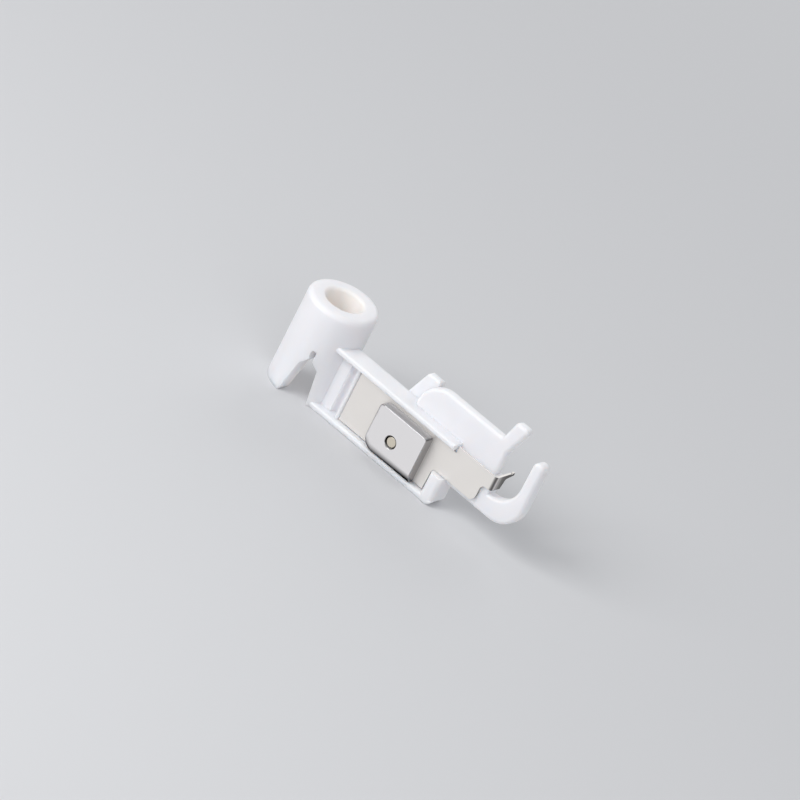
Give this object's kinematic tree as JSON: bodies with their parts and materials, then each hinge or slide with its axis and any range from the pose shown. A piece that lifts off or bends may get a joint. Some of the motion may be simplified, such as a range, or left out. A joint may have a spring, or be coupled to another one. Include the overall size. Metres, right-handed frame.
{
  "type": "sewing machine needle threader",
  "caption": "Moulded swing arm with a round socket at one end, a channel holding a thin steel hook leaf under a folded clamp, and guide prongs at the far end that steer thread to the needle.",
  "frame": {"origin": "centre of the socket's bore at its open end", "axes": "+Z along the bore out of the open end, +X out along the arm to the thread hook, -Y the side the hook leaf lies on"},
  "size_m": [0.0325, 0.0076, 0.0132],
  "materials": {
    "white_moulding": "smooth white acetal moulding with a soft sheen",
    "leaf_steel": "fine satin spring steel",
    "clamp_steel": "bright pressed steel",
    "pin_steel": "turned steel end"
  },
  "bodies": {
    "root": {"body": "white_moulding", "hook_leaf": "leaf_steel", "clamp": "clamp_steel", "pin": "pin_steel"}
  },
  "joints": []
}
